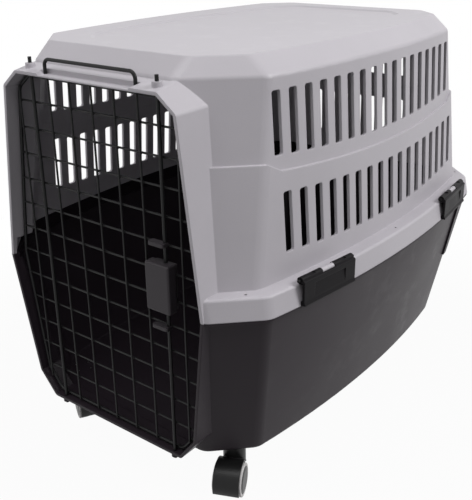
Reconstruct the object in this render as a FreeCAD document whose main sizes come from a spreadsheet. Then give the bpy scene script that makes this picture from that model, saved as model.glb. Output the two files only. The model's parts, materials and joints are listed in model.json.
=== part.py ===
import FreeCAD, Part
import math
import os
from types import SimpleNamespace
from FreeCAD import Placement, Rotation, Vector

# A two-part moulded pet carrier with a wire door, four side clips and four twin-wheel casters.
# Frame: +Z up, the door faces -Y, the origin is on the floor under the middle of the carrier.
# Millimetres and degrees throughout.

SIZES = {
    # moulded halves in plan, measured at the skirt that covers the joint
    "length": 752,
    "half_width": 281,
    "side_radius": 1790,
    "plan_bend": 26,
    "wall": 4.5,
    # heights
    "ground_gap": 74,
    "base_height": 241,
    "skirt_height": 30,
    "shoulder_height": 295,
    "roof_rise": 24,
    # insets of the upper half from the skirt outline, at the ledge, the shoulder and the roof
    "skirt_draft": 6,
    "ledge_side_inset": 29,
    "ledge_corner_inset": 27,
    "shoulder_side_inset": 48,
    "shoulder_corner_inset": 65,
    "shoulder_front_inset": 28,
    "shoulder_rear_inset": 42,
    "roof_side_inset": 77,
    "roof_corner_inset": 84,
    "roof_front_inset": 57,
    "roof_rear_inset": 66,
    "shoulder_round": 8,
    "ledge_round": 4,
    # shallow panel sunk into the roof
    "panel_depth": 2.5,
    "panel_slope": 2.6,
    "panel_side_inset": 142,
    "panel_corner_inset": 150,
    "panel_end_inset": 116,
    # belt line round the upper half, and the vent slots that follow it
    "belt_step": 4,
    "belt_corner_height": 189,
    "belt_side_drop": 13,
    "belt_sag": 11,
    "belt_ramp": 26,
    "belt_corner_length": 100,
    "slot_count": 17,
    "rear_slot_count": 7,
    "upper_slot_pitch": 30.9,
    "upper_slot_shift": -3.5,
    "lower_slot_pitch": 31.3,
    "lower_slot_shift": 7.5,
    "rear_slot_pitch": 30.4,
    "slot_width": 15.5,
    "slot_round": 3.5,
    "upper_slot_top": 277,
    "upper_slot_lift": 19,
    "lower_slot_drop": 27.5,
    "lower_slot_height": 82.5,
    # insets of the base
    "rim_inset": 0.5,
    "rim_thickness": 4,
    "base_top_inset": 7,
    "base_side_inset": 52,
    "base_corner_inset": 58,
    "base_front_inset": 40,
    "base_rear_inset": 50,
    "base_round": 7,
    "tongue_height": 18,
    "tongue_inset": 6,
    "tongue_front_gap": 50,
    "rear_grip_step": 3.5,
    "rear_grip_height": 118,
    "rear_grip_length": 102,
    # door sleeve, an eight-sided frame that stands out from both halves
    "sleeve_waist_half": 192,
    "sleeve_top_half": 131,
    "sleeve_top_corner_half": 160,
    "sleeve_top_height": 286,
    "sleeve_top_corner_height": 263,
    "sleeve_bottom_half": 135,
    "sleeve_bottom_corner_half": 165,
    "sleeve_bottom_drop": 238,
    "sleeve_bottom_corner_drop": 200,
    "sleeve_depth": 66,
    "sleeve_top_rise": 14,
    "sleeve_foot_setback": 9,
    "sleeve_round": 7,
    "boss_dia": 13,
    "boss_height": 6,
    "foot_boss_dia": 11,
    "foot_boss_height": 5,
    "scoop_depth": 2.5,
    "scoop_back": 18,
    # wire door
    "door_setback": 20,
    "door_gap": 7.5,
    "frame_wire": 5,
    "frame_bend": 16,
    "grid_wire": 3,
    "upright_pitch": 41.5,
    "outer_upright": 147,
    "row_count": 12,
    "row_top": 240.5,
    "row_pitch": 38.9,
    "weld_gap": 0.05,
    "rod_dia": 5,
    "rod_clearance": 0.08,
    "hinge_offset": 115.5,
    "pin_above_boss": 8,
    "pin_below_boss": 3,
    # squeeze latch on the door
    "latch_rod_offset": 119,
    "slide_gap": 0.3,
    "latch_width": 42,
    "latch_height": 70,
    "latch_depth": 15,
    "latch_centre_x": 112,
    "latch_centre_height": 26.5,
    "latch_wall": 3,
    "latch_round": 3,
    "latch_travel": 22.5,
    "latch_back_thickness": 2.5,
    "latch_screw_dia": 3,
    "latch_screw_head": 6,
    "spring_wall": 0.8,
    "tab_width": 27,
    "tab_margin": 1.5,
    "tab_thickness": 5,
    "tab_reach": 9,
    # grab handle above the door
    "handle_wire": 5,
    "handle_half_span": 84,
    "handle_lift": 17,
    "handle_bend": 9,
    "handle_setback": 14,
    "collar_dia": 12,
    "collar_height": 1.8,
    # side clips
    "clip_length": 110,
    "clip_offset": 204,
    "clip_thickness": 3.4,
    "clip_gap": 0.6,
    "clip_lip": 3.5,
    "clip_lip_height": 2,
    "clip_hook_gap": 0.5,
    "clip_grip": 1.5,
    "clip_grip_height": 5,
    "clip_hinge_inset": 4,
    "knuckle_dia": 10,
    "knuckle_lift": 0.5,
    "knuckle_dip": 1.6,
    "knuckle_dip_length": 12,
    "clip_notch": 26,
    "catch_lift": 3,
    "catch_thickness": 2.7,
    "clip_pin_dia": 4,
    "clip_pin_overhang": 4,
    "clip_recess_depth": 2,
    "clip_recess_margin": 22,
    "clip_recess_foot": 9,
    "clip_recess_head": 28,
    "ledge_screw_hole": 4.2,
    "ledge_hole_inset": 17,
    "ledge_hole_end": 52,
    # casters
    "caster_offset_x": 165,
    "caster_end_inset": 94,
    "caster_trail": 28,
    "front_right_turn": -66,
    "front_left_turn": -30,
    "rear_right_turn": 165,
    "rear_left_turn": 150,
    "wheel_dia": 50,
    "hub_dia": 41,
    "wheel_width": 15,
    "hub_crown": 1.2,
    "wheel_gap": 0.6,
    "axle_dia": 6,
    "web_width": 12,
    "hood_gap": 2,
    "hood_thickness": 2.5,
    "hood_width": 39,
    "neck_dia": 34,
    "stem_dia": 10,
    "stem_depth": 16,
    "mount_dia": 40,
    "mount_thickness": 4,
    "mount_screw_circle": 15,
    "mount_screw_dia": 4,
    "mount_screw_head": 6,
    "mount_screw_head_height": 2,
    "mount_screw_length": 8,
    "pad_margin": 1,
    "running_clearance": 0.05,
    "float_gap": 0.3,
}

doc = FreeCAD.newDocument("pet_carrier")
sheet = doc.addObject("Spreadsheet::Sheet", "sizes")
for row, (alias, value) in enumerate(SIZES.items(), start=1):
    sheet.set(f"A{row}", alias)
    sheet.set(f"B{row}", str(value))
    sheet.setAlias(f"B{row}", alias)
doc.recompute()
s = SimpleNamespace(**{alias: float(sheet.get(alias)) for alias in SIZES})

NODES = {}
ROOT2 = math.sqrt(2.0)
Z_AXIS = Vector(0, 0, 1)
HALF_LENGTH = s.length / 2
FRONT = -HALF_LENGTH
PARTING = s.ground_gap + s.base_height
LEDGE = PARTING + s.skirt_height
SHOULDER = PARTING + s.shoulder_height
ROOF = SHOULDER + s.roof_rise
ALONG_Y = Rotation(Vector(1, 0, 0), -90)


def keep(obj, label):
    """Name an object of the document as one sub-part."""
    obj.Label = label
    NODES[label] = obj
    return obj


def feature(label, shape, placement=Placement()):
    """A sub-part whose shape is worked out here, set down with its own placement."""
    obj = doc.addObject("Part::Feature", label)
    obj.Shape = shape
    obj.Placement = placement
    return keep(obj, label)


def bound(kind, name, placement=Placement(), **links):
    """A primitive whose sizes are bound to cells of the sheet."""
    obj = doc.addObject(kind, name)
    for prop, expression in links.items():
        obj.setExpression(prop, expression)
    obj.Placement = placement
    return obj


def rod(name, radius, height, placement):
    """A round bar with its radius and length bound to the sheet."""
    return bound("Part::Cylinder", name, placement, Radius=radius, Height=height)


def bar(name, radius, length, placement):
    """A round bar with its radius bound to the sheet and its length worked out from other pieces."""
    obj = bound("Part::Cylinder", name, placement, Radius=radius)
    obj.Height = length
    return obj


def cut(name, base, tool, placement=Placement()):
    obj = doc.addObject("Part::Cut", name)
    obj.Base = base
    obj.Tool = tool
    obj.Placement = placement
    return obj


def fuse(name, shapes, placement=Placement()):
    obj = doc.addObject("Part::MultiFuse", name)
    obj.Shapes = shapes
    obj.Placement = placement
    return obj


def group(label, members):
    """Several like solids that share one sub-part."""
    obj = doc.addObject("Part::Compound", label)
    obj.Links = members
    return keep(obj, label)


def mirror_x(point):
    return Vector(-point.x, point.y, point.z)


def mirror_y(point):
    return Vector(point.x, -point.y, point.z)


# Plan outline shared by both halves


def side_circle(side_inset):
    """Centre of the bowed side's circle, on the X axis."""
    return s.half_width - side_inset - s.side_radius


def corner_constant(corner_inset):
    """The 45 degree corner runs along x = y + this value at the front, and mirrors at the rear."""
    return HALF_LENGTH + s.sleeve_waist_half - ROOT2 * corner_inset


def corner_meets_side(constant, centre, radius):
    """Front point where a 45 degree line meets a circle about (centre, 0)."""
    k = constant - centre
    y = (-k + math.sqrt(2 * radius ** 2 - k ** 2)) / 2
    return Vector(y + constant, y, 0)


def end_bend(constant, end, bend):
    """Rounded bend between the end line y = end and the 45 degree corner, as three points."""
    tangent = bend * math.tan(math.radians(22.5))
    sharp = Vector(end + constant, end, 0)
    first = sharp - Vector(tangent, 0, 0)
    last = sharp + Vector(tangent, tangent, 0) / ROOT2
    middle = first + Vector(math.sin(math.radians(22.5)), 1 - math.cos(math.radians(22.5)), 0) * bend
    return [first, middle, last]


def side_bend(constant, centre, bend):
    """Rounded bend between the 45 degree corner and the bowed side, as three points."""
    heart = corner_meets_side(constant - bend * ROOT2, centre, s.side_radius - bend)
    on_line = heart + Vector(1, -1, 0) * (bend / ROOT2)
    outward = (heart - Vector(centre, 0, 0)).normalize()
    on_side = Vector(centre, 0, 0) + outward * s.side_radius
    halfway = (Vector(1, -1, 0) / ROOT2 + outward).normalize()
    return [on_line, heart + halfway * bend, on_side]


def plan_wire(height, side, corner, front, rear, bend):
    """Closed plan outline at one height, inset from the skirt outline by the given amounts."""
    centre = side_circle(side)
    constant = corner_constant(corner)
    front_end = end_bend(constant, FRONT + front, bend)
    front_side = side_bend(constant, centre, bend)
    rear_end = [mirror_y(p) for p in reversed(end_bend(constant, FRONT + rear, bend))]
    rear_side = [mirror_y(p) for p in reversed(front_side)]
    apex = Vector(s.half_width - side, 0, 0)
    runs = [front_end, [front_end[2], front_side[0]], front_side, [front_side[2], apex, rear_side[0]],
            rear_side, [rear_side[2], rear_end[0]], rear_end]
    runs.append([rear_end[2], mirror_x(rear_end[2])])
    runs += [[mirror_x(p) for p in reversed(run)] for run in reversed(runs[:7])]
    runs.append([mirror_x(front_end[0]), front_end[0]])
    lift = Vector(0, 0, height)
    edges = []
    for run in runs:
        points = [p + lift for p in run]
        if len(points) == 3:
            edges.append(Part.Arc(*points).toShape())
        else:
            edges.append(Part.LineSegment(*points).toShape())
    return Part.Wire(edges)


def tub(levels):
    """Solid through plan outlines, each level given as height, four insets and the bend."""
    return Part.makeLoft([plan_wire(*level) for level in levels], True, True)


def round_at(solid, height, radius):
    """Round every edge of a solid that lies at one height."""
    edges = [e for e in solid.Edges
             if abs(e.BoundBox.ZMin - height) < 0.01 and abs(e.BoundBox.ZMax - height) < 0.01]
    return solid.makeFillet(radius, edges)


def prism_x(points, half_width):
    """Solid with a closed outline in the YZ plane, drawn out both ways along X."""
    face = Part.Face(Part.makePolygon([Vector(-half_width, y, z) for y, z in points + points[:1]]))
    return face.extrude(Vector(2 * half_width, 0, 0))


def prism_y(points, half_length):
    """Solid with a closed outline in the XZ plane, drawn out both ways along Y."""
    face = Part.Face(Part.makePolygon([Vector(x, -half_length, z) for x, z in points + points[:1]]))
    return face.extrude(Vector(0, 2 * half_length, 0))


def box_between(low, high):
    """Block between two opposite corners."""
    size = Vector(*high) - Vector(*low)
    return Part.makeBox(size.x, size.y, size.z, Vector(*low))


# Door sleeve


def sleeve_outline(inset, rise=0.0):
    """Right half of the sleeve's outline as (x, z) from the top down, inset by a distance."""
    corners = [
        (s.sleeve_top_half, PARTING + s.sleeve_top_height + rise),
        (s.sleeve_top_corner_half, PARTING + s.sleeve_top_corner_height),
        (s.sleeve_waist_half, PARTING),
        (s.sleeve_bottom_corner_half, PARTING - s.sleeve_bottom_corner_drop),
        (s.sleeve_bottom_half, PARTING - s.sleeve_bottom_drop),
    ]
    mirrored = [(-x, z) for x, z in corners]
    around = [mirrored[0]] + corners + [mirrored[-1]]
    moved = []
    for before, here, after in zip(around, around[1:], around[2:]):
        moved.append(inset_corner(before, here, after, inset))
    return moved


def inset_corner(before, here, after, inset):
    """Corner of a clockwise outline after both of its sides move inward by a distance."""
    normals = []
    for a, b in ((before, here), (here, after)):
        run = math.hypot(b[0] - a[0], b[1] - a[1])
        normals.append(((b[1] - a[1]) / run, -(b[0] - a[0]) / run))
    (ax, az), (bx, bz) = normals
    scale = inset / (1 + ax * bx + az * bz)
    return (here[0] + (ax + bx) * scale, here[1] + (az + bz) * scale)


def sleeve_wire(y, inset, rise=0.0):
    """Closed outline of the sleeve in the plane at one y."""
    right = sleeve_outline(inset, rise)
    ring = right + [(-x, z) for x, z in reversed(right)]
    points = [Vector(x, y, z) for x, z in ring]
    return Part.makePolygon(points + points[:1])


def sleeve_solid():
    """Outside of the whole sleeve, with its long edges rounded and its foot set back."""
    back = FRONT + s.sleeve_depth
    solid = Part.makeLoft([sleeve_wire(FRONT, 0), sleeve_wire(back, 0, s.sleeve_top_rise)], True, True)
    long_edges = [e for e in solid.Edges if e.BoundBox.YLength > s.sleeve_depth / 2
                  and abs(e.CenterOfMass.z - PARTING) > 1]
    solid = solid.makeFillet(s.sleeve_round, long_edges)
    foot = PARTING - s.sleeve_bottom_drop
    slope = s.sleeve_foot_setback / s.sleeve_bottom_drop
    over = s.sleeve_depth
    wedge = prism_x([(FRONT, PARTING), (FRONT + slope * (s.sleeve_bottom_drop + over), foot - over),
                     (FRONT - over, foot - over), (FRONT - over, PARTING)], s.half_width)
    return solid.cut(wedge)


def sleeve_hollow():
    """Room inside the sleeve, from in front of the rim to inside the cabin."""
    start = FRONT - s.sleeve_depth
    face = Part.Face(sleeve_wire(start, s.wall))
    return face.extrude(Vector(0, 2 * s.sleeve_depth, 0))


# Places that several pieces share

DOOR_Y = FRONT + s.door_setback
ROW_Y = DOOR_Y - s.frame_wire / 2 + s.grid_wire / 2
UPRIGHT_Y = ROW_Y - s.grid_wire - s.weld_gap
WIRE_FRONT = DOOR_Y - s.frame_wire / 2
HINGE_Y = WIRE_FRONT - s.rod_dia / 2 - s.weld_gap
LATCH_ROD_Y = WIRE_FRONT - s.rod_dia / 2 - s.slide_gap
SLEEVE_ROOF = PARTING + s.sleeve_top_height
SLEEVE_FLOOR = PARTING - s.sleeve_bottom_drop
BOSS_TOP = SLEEVE_ROOF + s.boss_height + s.sleeve_top_rise * (HINGE_Y - FRONT) / s.sleeve_depth
BOSS_FOOT = SLEEVE_FLOOR - s.foot_boss_height
PIN_TOP = BOSS_TOP + s.pin_above_boss
PIN_FOOT = BOSS_FOOT - s.pin_below_boss
DOOR_PINS = [(-s.hinge_offset, HINGE_Y), (s.latch_rod_offset, LATCH_ROD_Y)]
PIN_HOLE = s.rod_dia / 2 + s.rod_clearance
HANDLE_Y = FRONT + s.handle_setback
HANDLE_FEET = [(-s.handle_half_span, HANDLE_Y), (s.handle_half_span, HANDLE_Y)]
COLLAR_TOP = SLEEVE_ROOF - s.wall
HANDLE_TOP = SLEEVE_ROOF + s.handle_lift
KNUCKLE_Z = LEDGE + s.knuckle_dia / 2 + s.knuckle_lift
CLIPS = {
    "front_right": (1, -s.clip_offset),
    "rear_right": (1, s.clip_offset),
    "front_left": (-1, -s.clip_offset),
    "rear_left": (-1, s.clip_offset),
}
CASTERS = {
    "front_right": (1, -1, s.front_right_turn),
    "front_left": (-1, -1, s.front_left_turn),
    "rear_right": (1, 1, s.rear_right_turn),
    "rear_left": (-1, 1, s.rear_left_turn),
}


def clip_place(side, y):
    """Placement of a clip: local x points out of the skirt, local y runs along it, z is up."""
    centre = side_circle(0)
    x = centre + math.sqrt(s.side_radius ** 2 - y ** 2)
    turn = math.degrees(math.atan2(y, side * (x - centre)))
    return Placement(Vector(side * x, y, 0), Rotation(Z_AXIS, turn))


def caster_place(side, end, turn):
    """Placement of a caster: on the floor under its swivel, local x points to its axle."""
    y = end * (HALF_LENGTH - s.caster_end_inset)
    return Placement(Vector(side * s.caster_offset_x, y, 0), Rotation(Z_AXIS, turn))


def mount_screw_places():
    """Centres of one caster's four fixing screws, about its swivel."""
    first = Vector(s.mount_screw_circle, 0, 0)
    return [Rotation(Z_AXIS, 45 + 90 * i).multVec(first) for i in range(4)]


# Upper half


def belt_profile(drop):
    """Side view of the belt line as an edge list from front to rear, lowered by a distance."""
    level = PARTING + s.belt_corner_height - drop
    start = FRONT + s.belt_corner_length
    far = HALF_LENGTH + s.length
    ramp_end = start + s.belt_ramp
    low = level - s.belt_side_drop
    x = -s.half_width
    arc = Part.Arc(Vector(x, ramp_end, low), Vector(x, 0, low - s.belt_sag), Vector(x, -ramp_end, low))
    return [Part.makeLine(Vector(x, -far, level), Vector(x, start, level)),
            Part.makeLine(Vector(x, start, level), Vector(x, ramp_end, low)),
            arc.toShape(),
            Part.makeLine(Vector(x, -ramp_end, low), Vector(x, -start, level)),
            Part.makeLine(Vector(x, -start, level), Vector(x, far, level))]


def below_belt(drop):
    """Everything under the belt line, across the whole width."""
    edges = belt_profile(drop)
    first = edges[0].Vertexes[0].Point
    last = edges[-1].Vertexes[-1].Point
    corners = [last, Vector(last.x, last.y, 0), Vector(first.x, first.y, 0), first]
    edges += [Part.makeLine(a, b) for a, b in zip(corners, corners[1:])]
    return Part.Face(Part.Wire(edges)).extrude(Vector(2 * s.half_width, 0, 0))


def belt_height(y):
    """Height of the belt's arc on the side walls."""
    low = PARTING + s.belt_corner_height - s.belt_side_drop
    span = HALF_LENGTH - s.belt_corner_length - s.belt_ramp
    radius = (span ** 2 + s.belt_sag ** 2) / (2 * s.belt_sag)
    return low - s.belt_sag + radius - math.sqrt(radius ** 2 - y ** 2)


def upper_levels(extra, foot, top_drop):
    """Levels of the upper half's walls and roof, inset by an extra distance."""
    share = (foot - LEDGE) / (SHOULDER - LEDGE)
    side = s.ledge_side_inset + share * (s.shoulder_side_inset - s.ledge_side_inset)
    corner = s.ledge_corner_inset + share * (s.shoulder_corner_inset - s.ledge_corner_inset)
    bend = s.plan_bend - extra
    front = s.shoulder_front_inset + extra
    rear = s.ledge_side_inset + share * (s.shoulder_rear_inset - s.ledge_side_inset) + extra
    return [
        (foot, side + extra, corner + extra, front, rear, bend),
        (SHOULDER - top_drop / 2, s.shoulder_side_inset + extra, s.shoulder_corner_inset + extra, front,
         s.shoulder_rear_inset + extra, bend),
        (ROOF - top_drop, s.roof_side_inset + extra, s.roof_corner_inset + extra,
         s.roof_front_inset + extra, s.roof_rear_inset + extra, bend),
    ]


def upper_body(extra, foot, top_drop):
    """Walls and roof above the belt as one solid, with the shoulder and roof edges rounded."""
    levels = upper_levels(extra, foot, top_drop)
    solid = round_at(tub(levels), levels[1][0], s.shoulder_round)
    return round_at(solid, levels[2][0], s.shoulder_round / 2)


def belt_body(extra, foot, drop):
    """Wider wall under the belt line."""
    wide = upper_levels(extra - s.belt_step, foot, 0)[:2]
    return tub(wide).common(below_belt(drop))


def skirt(extra, foot):
    """Skirt that covers the joint, with its upper edge rounded on the outside."""
    top = LEDGE - extra
    bend = s.plan_bend - extra
    draft = s.skirt_draft + extra
    solid = tub([(foot, extra, extra, extra, extra, bend), (top, draft, draft, extra, draft, bend)])
    return solid if extra else round_at(solid, top, s.ledge_round)


def slot(y, low, high):
    """Upright slot with rounded corners through both side walls."""
    half = s.slot_width / 2
    block = box_between((-s.half_width, y - half, low), (s.half_width, y + half, high))
    return block.makeFillet(s.slot_round, [e for e in block.Edges if e.BoundBox.XLength > s.half_width])


def upper_slot(belt, across):
    """Slot above the belt at one place along a wall."""
    return slot(across, belt + s.upper_slot_lift, PARTING + s.upper_slot_top)


def lower_slot(belt, across):
    """Slot under the belt at one place along a wall."""
    top = belt - s.lower_slot_drop
    return slot(across, top - s.lower_slot_height, top)


def side_slots():
    """Both rows of vents through the side walls."""
    tools = []
    for i in range(int(s.slot_count)):
        step = i - (s.slot_count - 1) / 2
        upper_y = s.upper_slot_shift + step * s.upper_slot_pitch
        lower_y = s.lower_slot_shift + step * s.lower_slot_pitch
        tools += [upper_slot(belt_height(upper_y), upper_y), lower_slot(belt_height(lower_y), lower_y)]
    return tools


def rear_slots():
    """Both rows of vents in the rear wall, drawn out along Y from the middle of the cabin."""
    tools = []
    belt = PARTING + s.belt_corner_height - s.belt_side_drop
    turn = Placement(Vector(0, s.half_width, 0), Rotation(Z_AXIS, 90))
    for i in range(int(s.rear_slot_count)):
        across = (i - (s.rear_slot_count - 1) / 2) * s.rear_slot_pitch
        for tool in (upper_slot(belt, across), lower_slot(belt, across)):
            tool.Placement = turn
            tools.append(tool)
    return tools


def roof_panel():
    """Shallow sunk panel of the roof, with gently sloped edges."""
    end = s.panel_end_inset
    top = ROOF + s.panel_depth
    wide = 2 * s.panel_depth * s.panel_slope
    return tub([(ROOF - s.panel_depth, s.panel_side_inset, s.panel_corner_inset, end, end, s.plan_bend),
                (top, s.panel_side_inset - wide, s.panel_corner_inset - wide, end - wide, end - wide,
                 s.plan_bend)])


def clip_lugs():
    """Lugs on the skirt that carry the clips' pins."""
    lugs = []
    half = s.clip_notch / 2 - s.float_gap
    hinge = -s.clip_hinge_inset
    radius = s.clip_hinge_inset + s.clip_gap - s.clip_hook_gap
    start = Vector(hinge, -half, KNUCKLE_Z)
    along = Vector(0, 1, 0)
    for side, y in CLIPS.values():
        foot = box_between((hinge - 2 * radius, -half, LEDGE - s.wall / 2), (hinge, half, KNUCKLE_Z))
        overhang = box_between((-s.skirt_draft - s.ledge_round, -half, LEDGE - s.wall), (0, half, LEDGE))
        barrel = Part.makeCylinder(radius, 2 * half, start, along)
        hole = Part.makeCylinder(s.clip_pin_dia / 2 + s.running_clearance, 2 * half, start, along)
        lug = foot.cut(overhang).fuse(barrel).cut(hole)
        lug.Placement = clip_place(side, y)
        lugs.append(lug)
    return lugs


def clip_notches():
    """Openings in the skirt's lower edge where the clips' hooks reach in."""
    notches = []
    half = s.clip_length / 2 + s.clip_hook_gap
    top = PARTING + s.catch_lift + s.catch_thickness + s.float_gap
    for side, y in CLIPS.values():
        notch = box_between((-s.wall - s.skirt_draft, -half, PARTING - s.wall), (s.wall, half, top))
        notch.Placement = clip_place(side, y)
        notches.append(notch)
    return notches


def clip_catches():
    """Ribs on the base's tongue that the clips' hooks pull up against."""
    catches = []
    half = s.clip_length / 2 - s.clip_hook_gap
    low = PARTING + s.catch_lift
    for side, y in CLIPS.values():
        catch = box_between((-s.tongue_inset - s.wall / 2, -half, low),
                            (-s.rim_inset, half, low + s.catch_thickness))
        catch.Placement = clip_place(side, y)
        catches.append(catch)
    return catches


def ledge_holes():
    """Screw holes down through the ledge, one at each corner and one at the middle of each side."""
    inset = s.ledge_hole_inset
    middle = s.half_width - inset
    corner = corner_constant(inset)
    y = FRONT + s.ledge_hole_end
    places = [(middle, 0), (-middle, 0)]
    for end in (1, -1):
        places += [(y + corner, end * y), (-y - corner, end * y)]
    return [Part.makeCylinder(s.ledge_screw_hole / 2, 2 * s.wall, Vector(px, py, LEDGE - 1.5 * s.wall))
            for px, py in places]


def scoop():
    """Finger scoop under the grab handle, along the sleeve's top edge."""
    half = s.handle_half_span
    lift = s.sleeve_top_rise + s.scoop_depth
    low = SLEEVE_ROOF - s.scoop_depth
    high = SLEEVE_ROOF + lift
    outline = [Vector(-half, FRONT, low), Vector(half, FRONT, low), Vector(half + lift, FRONT, high),
               Vector(-half - lift, FRONT, high)]
    face = Part.Face(Part.makePolygon(outline + outline[:1]))
    return face.extrude(Vector(0, s.scoop_back, 0))


def make_top_shell():
    """Upper half: skirt, stepped walls, roof and the upper part of the door sleeve."""
    sleeve = sleeve_solid().cut(box_between((-s.half_width, FRONT - s.length, 0),
                                            (s.half_width, HALF_LENGTH, PARTING)))
    walls = [upper_body(s.belt_step, PARTING, 0), belt_body(s.belt_step, PARTING, 0)]
    shell = skirt(0, PARTING).multiFuse(walls + [sleeve])
    bosses = [Part.makeCylinder(s.boss_dia / 2, s.boss_height + s.wall, Vector(x, y, BOSS_TOP), -Z_AXIS)
              for x, y in DOOR_PINS]
    shell = shell.multiFuse(bosses + clip_lugs())
    inside = s.belt_step + s.wall
    below = PARTING - s.wall
    hollow = skirt(s.wall, below).multiFuse([upper_body(inside, below, s.wall),
                                             belt_body(inside, below, s.wall), sleeve_hollow()])
    pin_holes = [Part.makeCylinder(PIN_HOLE, s.length, Vector(x, y, PARTING)) for x, y in DOOR_PINS]
    foot_holes = [Part.makeCylinder(s.handle_wire / 2 + s.running_clearance, s.length, Vector(x, y, PARTING))
                  for x, y in HANDLE_FEET]
    tools = [hollow, roof_panel(), scoop()] + side_slots() + rear_slots() + ledge_holes()
    tools += pin_holes + foot_holes + clip_notches()
    return feature("top_shell", shell.cut(tools).removeSplitter())


# Base


def base_levels(extra, floor_lift, top):
    """Levels of the base's walls from its floor to a height at or above the rim's underside."""
    low = s.ground_gap + floor_lift
    rim = PARTING - s.rim_thickness
    share = (top - s.ground_gap) / (rim - s.ground_gap)
    bend = s.plan_bend - extra

    def between(foot_inset, head_inset):
        return foot_inset + share * (head_inset - foot_inset) + extra

    head = s.base_top_inset
    return [
        (low, s.base_side_inset + extra, s.base_corner_inset + extra, s.base_front_inset + extra,
         s.base_rear_inset + extra, bend),
        (top, between(s.base_side_inset, head), between(s.base_corner_inset, head),
         between(s.base_front_inset, head), between(s.base_rear_inset, head), bend),
    ]


def base_body(extra, floor_lift, top):
    """Base tub with its lower edge rounded."""
    levels = base_levels(extra, floor_lift, top)
    return round_at(tub(levels), levels[0][0], s.base_round - extra)


def tongue(extra, foot, head):
    """Upright lip of the base that stands inside the skirt."""
    bend = s.plan_bend - s.tongue_inset
    slope = s.skirt_draft / s.skirt_height
    levels = []
    for height in (foot, head):
        inset = s.tongue_inset + slope * (height - PARTING) + extra
        levels.append((height, inset, inset, inset, inset, bend))
    return tub(levels)


def rear_grip():
    """Raised band round the rear end of the base, a hold for lifting."""
    foot = PARTING - s.rear_grip_height
    rim = PARTING - s.rim_thickness / 2
    band = tub([base_levels(-s.rear_grip_step, 0, height)[1] for height in (foot, rim)])
    start = HALF_LENGTH - s.rear_grip_length
    return band.common(box_between((-s.half_width, start, 0), (s.half_width, HALF_LENGTH, PARTING)))


def make_base_shell():
    """Lower half: tub, rim, tongue and the lower part of the door sleeve."""
    rim_low = PARTING - s.rim_thickness
    sleeve = sleeve_solid().cut(box_between((-s.half_width, FRONT - s.length, PARTING),
                                            (s.half_width, HALF_LENGTH, PARTING + s.length)))
    inset = s.rim_inset
    rim = tub([(rim_low, inset, inset, inset, inset, s.plan_bend),
               (PARTING, inset, inset, inset, inset, s.plan_bend)])
    head = PARTING + s.tongue_height
    lip = tongue(0, rim_low, head).cut(box_between(
        (-s.half_width, FRONT - s.length, PARTING), (s.half_width, FRONT + s.tongue_front_gap, head)))
    shell = base_body(0, 0, rim_low).multiFuse([rim, lip, rear_grip(), sleeve])
    bosses = [Part.makeCylinder(s.foot_boss_dia / 2, s.foot_boss_height + s.wall / 2, Vector(x, y, BOSS_FOOT))
              for x, y in DOOR_PINS]
    pads = []
    for side, end, turn in CASTERS.values():
        pad = Part.makeCylinder(s.mount_dia / 2 + s.pad_margin, s.base_round)
        lift = Placement(Vector(0, 0, s.ground_gap), Rotation())
        pad.Placement = caster_place(side, end, turn).multiply(lift)
        pads.append(pad)
    shell = shell.multiFuse(bosses + clip_catches() + pads)
    hollow = base_body(s.wall, s.wall, rim_low).multiFuse([
        tongue(s.wall, rim_low - s.wall, head + s.wall), sleeve_hollow()])
    pin_holes = [Part.makeCylinder(PIN_HOLE, s.base_height, Vector(x, y, PIN_FOOT)) for x, y in DOOR_PINS]
    screw_holes = []
    for side, end, turn in CASTERS.values():
        for place in mount_screw_places():
            hole = Part.makeCylinder(s.mount_screw_dia / 2 + s.running_clearance, 2 * s.wall,
                                     place + Vector(0, 0, s.ground_gap - s.wall))
            hole.Placement = caster_place(side, end, turn)
            screw_holes.append(hole)
    return feature("base_shell", shell.cut([hollow] + pin_holes + screw_holes).removeSplitter())


# Grab handle above the door


def bent_wire(points, bend, diameter, closed=False):
    """Round wire along a path of straight runs joined by tangent arcs."""
    count = len(points)
    corners = range(count) if closed else range(1, count - 1)
    ends = {}
    edges = []
    for i in corners:
        here = points[i]
        back = (points[i - 1] - here).normalize()
        ahead = (points[(i + 1) % count] - here).normalize()
        half = back.getAngle(ahead) / 2
        reach = bend / math.tan(half)
        heart = here + (back + ahead).normalize() * (bend / math.sin(half))
        middle = heart + (here - heart).normalize() * bend
        ends[i] = (here + back * reach, middle, here + ahead * reach)
    order = list(range(count))
    for i in order:
        if i in ends:
            edges.append(Part.Arc(*ends[i]).toShape())
        if closed or i < count - 1:
            nxt = (i + 1) % count
            start = ends[i][2] if i in ends else points[i]
            stop = ends[nxt][0] if nxt in ends else points[nxt]
            edges.append(Part.makeLine(start, stop))
    path = Part.Wire(Part.__sortEdges__(edges))
    first = path.OrderedEdges[0]
    origin = first.valueAt(first.FirstParameter)
    tangent = first.tangentAt(first.FirstParameter)
    if path.OrderedVertexes[0].Point.distanceToPoint(origin) > diameter / 100:
        origin = first.valueAt(first.LastParameter)
        tangent = first.tangentAt(first.LastParameter)
    profile = Part.Wire([Part.makeCircle(diameter / 2, origin, tangent)])
    return path.makePipeShell([profile], True, True)


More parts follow.
